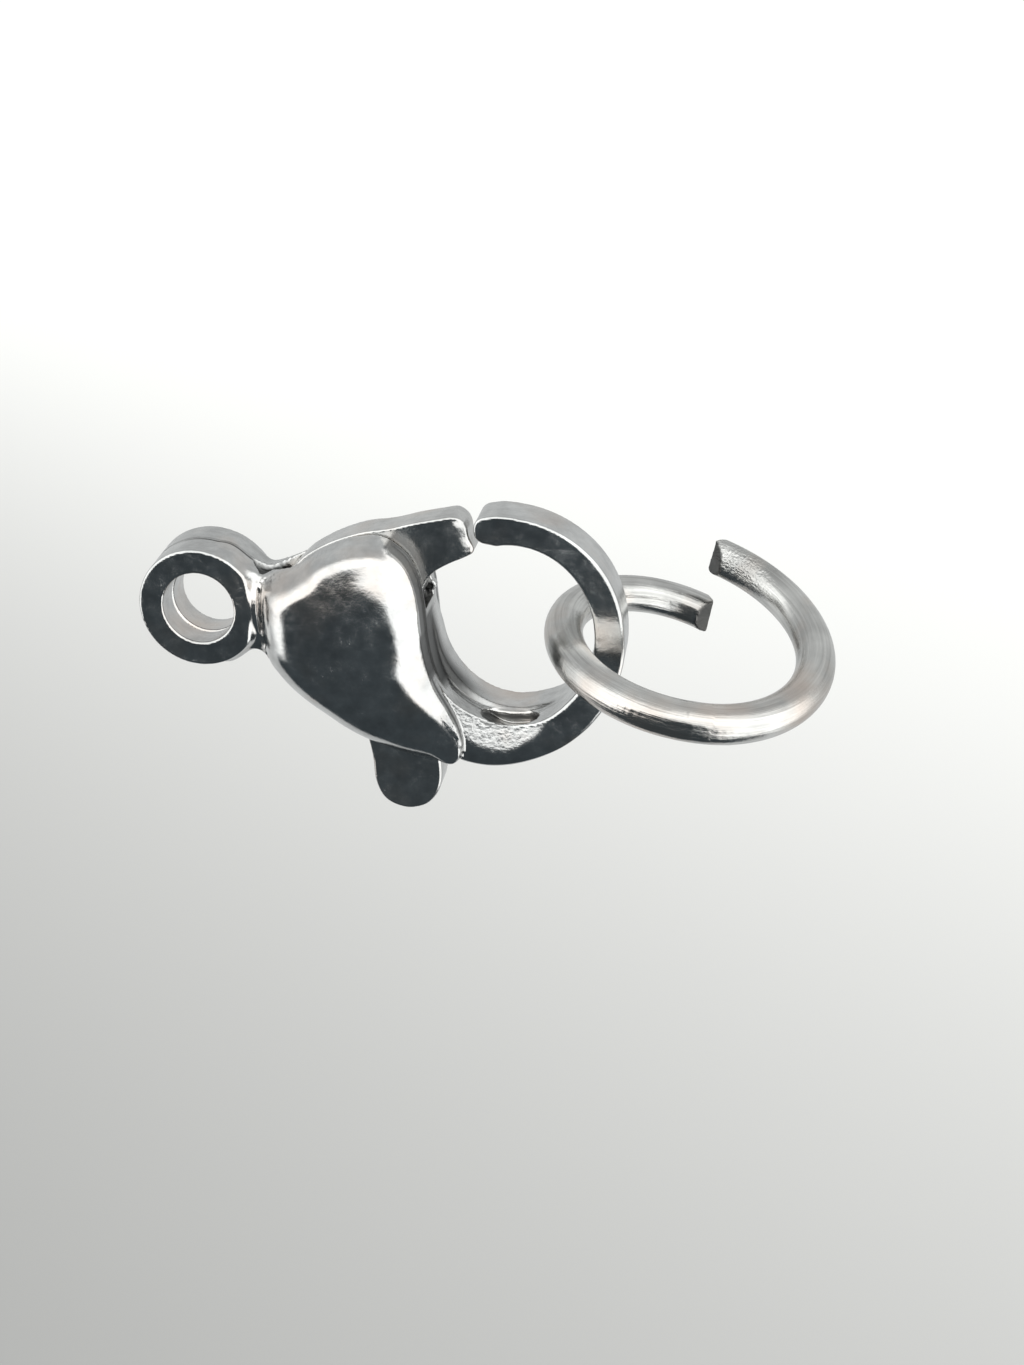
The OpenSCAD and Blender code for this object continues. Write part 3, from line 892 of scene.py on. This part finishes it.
def steel(name, tint, rough, grain, tones=(0.8, 1.17), finish=FACE, marks=None, dirt_and_shade=None, upward=None):
    """Polished steel: cloudy tone, drawn lines, rough specks, grain, dents at marks, and a dark colour where
    dirt and painted shade are marked.
    """
    t = Tree(bpy.data.materials.new(name))
    space = t.attribute("wire", "Vector") if finish is WIRE else t.space
    lines = t.stretched_noise(space, finish.lines, 4, 0.6)
    if upward:
        lines = t.math("MULTIPLY", lines, t.attribute(upward))
    cloud = t.noise(CLOUDS, 3, 0.5)
    patch = t.noise(PATCHES, 4, 0.6)
    second = lines if finish is WIRE else patch
    tone = t.math("ADD", t.math("MULTIPLY", cloud, 0.5), t.math("MULTIPLY", second, 0.5))
    dark, light = (tuple(c * k for c in tint) + (1,) for k in tones)
    colour = t.mix(t.ramp(tone, 0.36, 0.64), dark, light)
    colour = t.mix(t.ramp(t.noise(STAINS, 3, 0.6), 0.5, 0.7, 0, 0.6), colour, BROWN)

    specks = t.ramp(t.noise(SPECKS, 4, 0.75), 0.5, 0.72)
    worn = t.math("MULTIPLY", specks, t.ramp(t.noise(WEAR, 3, 0.6), 0.42, 0.62, 0.15, 1))
    roughness = t.ramp(patch, 0.3, 0.7, rough * 0.7, rough * 1.3)
    roughness = t.math("ADD", roughness, t.math("MULTIPLY", worn, 0.14))

    normal = t.bump(cloud, CLOUD_DEPTH, 0.35)
    normal = t.bump(patch, PATCH_DEPTH, 0.5, normal)
    normal = t.bump(lines, finish.line_depth, grain, normal)
    normal = t.bump(t.noise(GRAIN, 4, 0.65), GRAIN_DEPTH, grain, normal)
    if marks:
        marked = t.attribute(marks)
        dents = t.math("MULTIPLY", t.stretched_noise(space, finish.dents, 2, 0.5), marked)
        normal = t.bump(dents, finish.dent_depth, 0.8, normal)
        roughness = t.math("ADD", roughness, t.math("MULTIPLY", marked, 0.22))
    # darker colour where dirt and painted shade are marked
    if dirt_and_shade:
        dirt_and_shade_amount = t.attribute(dirt_and_shade)
        colour = t.mix(dirt_and_shade_amount, colour, DIRT_AND_SHADE_COLOUR)
        roughness = t.math("ADD", roughness, t.math("MULTIPLY", dirt_and_shade_amount, 0.3))
    t.shade(Metallic=1.0, Base_Color=colour, Roughness=roughness, Normal=normal)
    return t.owner


body_steel = steel(
    "body_steel_polished", (0.60, 0.605, 0.60), 0.14, 0.5, marks="cast", dirt_and_shade="dirt_and_shade", upward="drawn")
lever_steel = steel(
    "lever_steel_polished", (0.60, 0.60, 0.59), 0.15, 0.5, dirt_and_shade="dirt_and_shade", upward="drawn")
ring_steel = steel(
    "ring_steel_drawn", (0.585, 0.585, 0.57), 0.15, 0.7,
    tones=(0.72, 1.26), finish=WIRE, marks="marked", dirt_and_shade="cut_faces_shaded")
hidden_steel = steel("hidden_steel", (0.5, 0.5, 0.49), 0.3, 0.4)


# pieces
def dress(name, node, body, material, field, axes):
    """A piece made from its field, in place of the CAD's node."""
    piece = mesh_piece(name, *surface(field(axes), axes))
    piece.data.materials.append(material)
    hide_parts(node)
    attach(piece, body)
    return piece


body_marks(dress("clasp_body", "body", "body", body_steel, body_field, body_axes()))
lever_marks(dress("clasp_lever", "lever", "lever", lever_steel, lever_field, lever_axes()))
ring_marks(dress("opened_jump_ring", "jump_ring", "body", ring_steel, ring_field, ring_axes()))
for node in ("pivot_pin", "spring"):
    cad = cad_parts[node]
    cad.data.materials.clear()
    cad.data.materials.append(hidden_steel)


# floor
FLOOR_Z = -0.04
FLOOR_CORNERS = [(-3, -1, 0), (3, -1, 0), (3, 6, 0), (-3, 6, 0)]
# painted light on the floor: how much paler its colour gets a metre along X and Y, its paleness at the
# origin, and the least
FLOOR_LIGHT = (3.33, 4.41, 0)
FLOOR_LEVEL = 0.458
FLOOR_LEAST = 0.4
FLOOR_PALE = (0.87, 0.876, 0.857, 1)


def floor_painted_light():
    """Painted light: the floor's colour is paler towards the back and the right, as under one large soft
    light.
    """
    mesh = bpy.data.meshes.new("floor")
    mesh.from_pydata(FLOOR_CORNERS, [], [(0, 1, 2, 3)])
    floor = bpy.data.objects.new("floor", mesh)
    floor.location.z = FLOOR_Z
    scene.collection.objects.link(floor)
    floor.visible_glossy = False
    t = Tree(bpy.data.materials.new("floor_painted_light"))
    across = t.vector_math("DOT_PRODUCT", t.space, FLOOR_LIGHT).outputs["Value"]
    level = t.math("SMOOTH_MIN", t.math("ADD", across, FLOOR_LEVEL), 1.0, 0.35)
    level = t.math("SMOOTH_MAX", level, FLOOR_LEAST, 0.08)
    # the painted light sets the floor's colour
    t.shade(Base_Color=t.mix(level, (0, 0, 0, 1), FLOOR_PALE), Roughness=0.9, Specular_IOR_Level=0.0)
    mesh.materials.append(t.owner)
    return floor


floor = floor_painted_light()

# light: where the dark edge stands lower, as an axis with the stretch along it and the drop
EDGE_DROPS = [("X", 0.2, 0.45, 0.6), ("X", -0.4, -0.8, 0.38), ("Y", -0.05, 0.3, 0.95)]
DARK_EDGE = (-0.17, -0.05)
FRONT_LIGHT = 1.7
BACK_LIGHT = 0.58
LIGHT_TINT = (1, 1, 0.985)
DARK_TONE = (0.058, 0.070, 0.078)
SOFT_LIGHT = (1.15, 1.15, 1.15, 1)


def studio_light():
    """A dome of soft light over a dark edge, brightest at the front and sides, and even for dull faces."""
    world = bpy.data.worlds.new("studio")
    scene.world = world
    world.use_nodes = True
    world.node_tree.nodes.clear()
    t = Tree(world, "Generated")
    way = t.node("SeparateXYZ", Vector=t.space).outputs
    level = way["Z"]
    for axis, low, high, drop in EDGE_DROPS:
        level = t.math("ADD", level, t.ramp(way[axis], low, high, 0, drop, smooth=True))
    lit = t.ramp(level, *DARK_EDGE, smooth=True)
    side = t.math("MAXIMUM", t.math("MULTIPLY", way["X"], 0.9), t.math("MULTIPLY", way["X"], -0.6))
    backward = t.math("SUBTRACT", way["Y"], side)
    strength = t.ramp(backward, -0.95, -0.35, FRONT_LIGHT, BACK_LIGHT, smooth=True)
    total = t.math("MULTIPLY", lit, strength)
    colour = t.vector_math("MULTIPLY_ADD", total, LIGHT_TINT, DARK_TONE).outputs[0]
    diffuse = t.node("LightPath").outputs["Is Diffuse Ray"]
    background = t.node("Background", Color=t.mix(diffuse, colour, SOFT_LIGHT))
    t.node("OutputWorld", Surface=background.outputs[0])


studio_light()

# camera, at the photograph's viewing angle
FOCAL_PIXELS = 1600
PHOTO_HEIGHT = 1365
SENSOR = 36
CAMERA_PLACE = Vector((12.654, -36.021, 14.306)) * MM
RIGHT = Vector((0.990119, 0.14, 0.007986))
UP = Vector((-0.063933, 0.40, 0.914283))
BACK = Vector((0.124805, -0.905759, 0.404998))

camera_data = bpy.data.cameras.new("camera")
camera = bpy.data.objects.new("camera", camera_data)
scene.collection.objects.link(camera)
scene.camera = camera
camera_data.sensor_width = SENSOR
camera_data.sensor_fit = "AUTO"
camera_data.lens = FOCAL_PIXELS / PHOTO_HEIGHT * SENSOR
camera_data.clip_start = 0.001
camera_data.clip_end = 50
camera.matrix_world = Matrix.Translation(CAMERA_PLACE) @ Matrix((RIGHT, UP, BACK)).transposed().to_4x4()

scene.view_settings.view_transform = "Standard"
